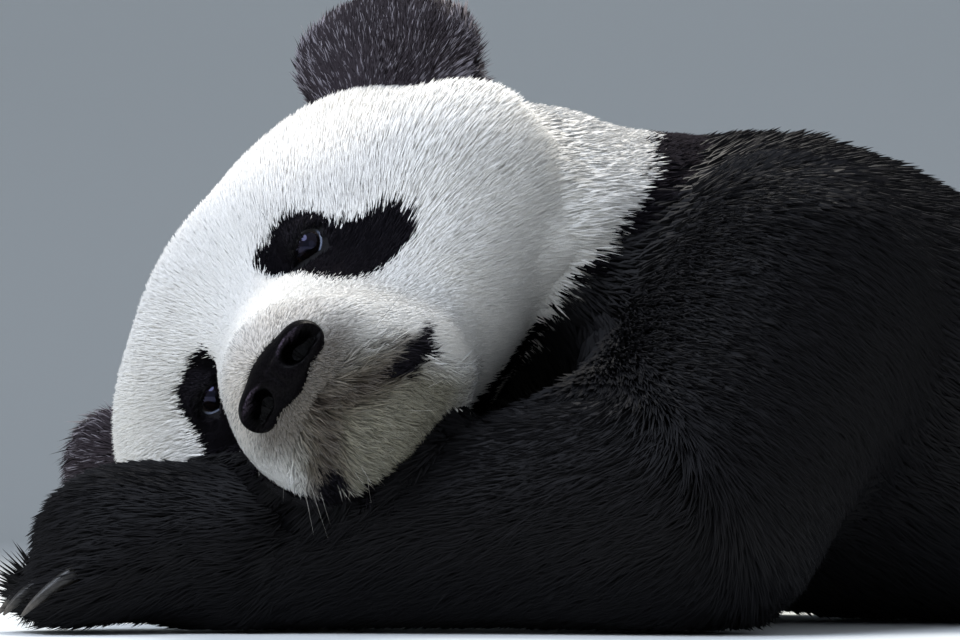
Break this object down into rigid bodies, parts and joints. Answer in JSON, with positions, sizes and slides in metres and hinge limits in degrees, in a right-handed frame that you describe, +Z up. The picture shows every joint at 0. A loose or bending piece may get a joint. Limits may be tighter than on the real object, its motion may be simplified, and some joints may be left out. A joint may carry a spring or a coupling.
{
  "type": "giant panda",
  "caption": "Life-size giant panda lying on its front, head turned and laid on its cheek over one outstretched foreleg, hind legs folded beside the belly.",
  "frame": {"origin": "on the floor, under the middle of the whole animal's outline", "axes": "+Z up, +X towards the hindquarters, the head at -X with its face looking along -Y"},
  "size_m": [1.2216, 0.7872, 0.3755],
  "materials": {
    "coat_white": "dense, slightly coarse cream-white fur",
    "coat_black": "dense black fur with a faint cool sheen",
    "nose": "bare, finely pebbled, damp skin",
    "eye": "wet and glossy, dark brown iris and round pupil",
    "claw": "worn horn, slightly polished"
  },
  "bodies": {
    "root": {"head": "coat_white", "neck": "coat_white", "loins": "coat_white", "rump": "coat_white", "tail": "coat_white", "ear_left": "coat_black", "ear_right": "coat_black", "shoulders": "coat_black", "foreleg_left_upper": "coat_black", "foreleg_left_forearm": "coat_black", "foreleg_left_paw": "coat_black", "foreleg_right_upper": "coat_black", "foreleg_right_forearm": "coat_black", "foreleg_right_paw": "coat_black", "hindleg_left_thigh": "coat_black", "hindleg_left_shank": "coat_black", "hindleg_left_foot": "coat_black", "hindleg_right_thigh": "coat_black", "hindleg_right_shank": "coat_black", "hindleg_right_foot": "coat_black", "nose": "nose", "eye_left": "eye", "eye_right": "eye", "foreleg_left_claw_1": "claw", "foreleg_left_claw_2": "claw", "foreleg_left_claw_3": "claw", "foreleg_left_claw_4": "claw", "foreleg_left_claw_5": "claw", "foreleg_right_claw_1": "claw", "foreleg_right_claw_2": "claw", "foreleg_right_claw_3": "claw", "foreleg_right_claw_4": "claw", "foreleg_right_claw_5": "claw", "hindleg_left_claw_1": "claw", "hindleg_left_claw_2": "claw", "hindleg_left_claw_3": "claw", "hindleg_left_claw_4": "claw", "hindleg_left_claw_5": "claw", "hindleg_right_claw_1": "claw", "hindleg_right_claw_2": "claw", "hindleg_right_claw_3": "claw", "hindleg_right_claw_4": "claw", "hindleg_right_claw_5": "claw"}
  },
  "joints": []
}
